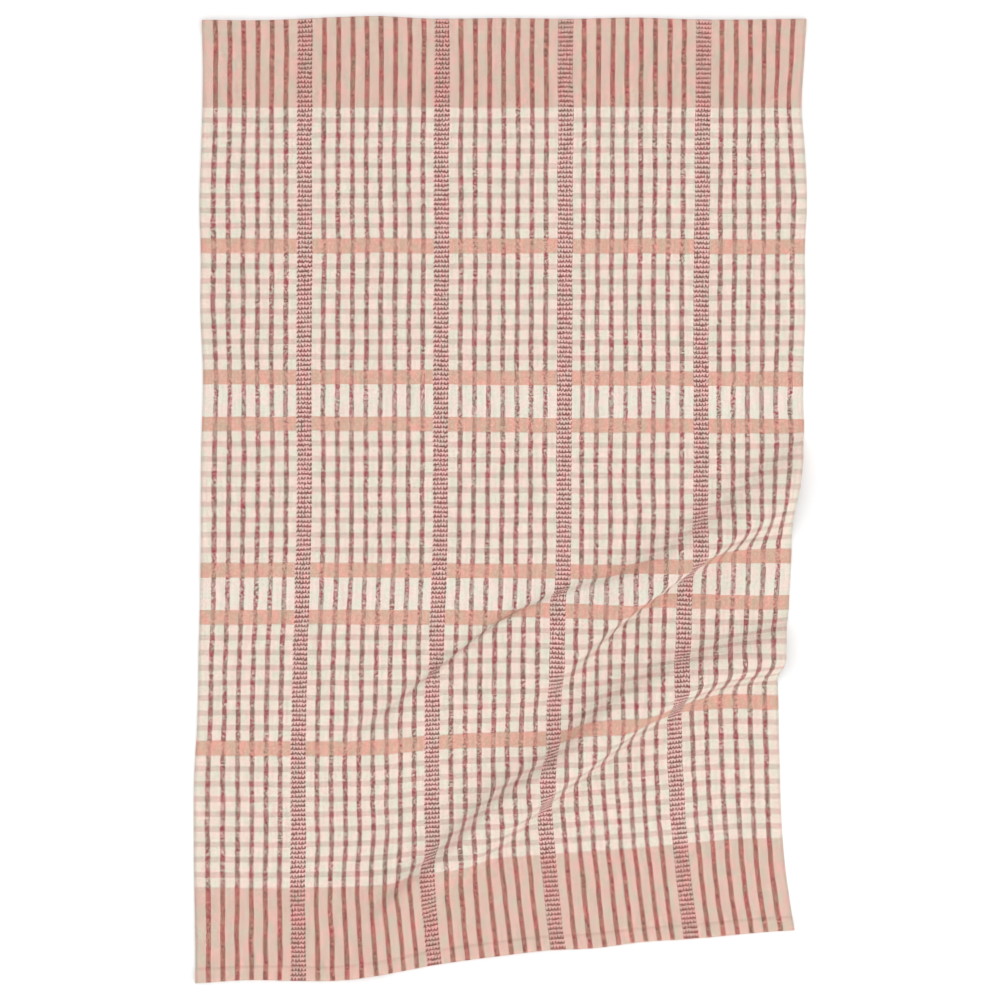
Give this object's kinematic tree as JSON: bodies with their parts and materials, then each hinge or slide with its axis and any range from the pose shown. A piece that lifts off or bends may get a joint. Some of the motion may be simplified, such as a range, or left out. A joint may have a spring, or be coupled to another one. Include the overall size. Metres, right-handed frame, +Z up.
{
  "type": "tea towel",
  "caption": "Woven cotton tea towel lying face up, with long folds pushed up across one corner and a stitched hem at each end.",
  "frame": {"origin": "on the surface that the towel lies on, under the middle of its outline", "axes": "+Z up from the surface, +Y along the towel from the folded corner's end to the other hem, +X across it from the left selvedge to the right one"},
  "size_m": [0.5076, 0.8019, 0.0204],
  "materials": {
    "woven_cotton": "woven cotton, cream ground with dusty rose stripes and peach bands"
  },
  "bodies": {
    "root": {"towel_cloth": "woven_cotton"}
  },
  "joints": []
}
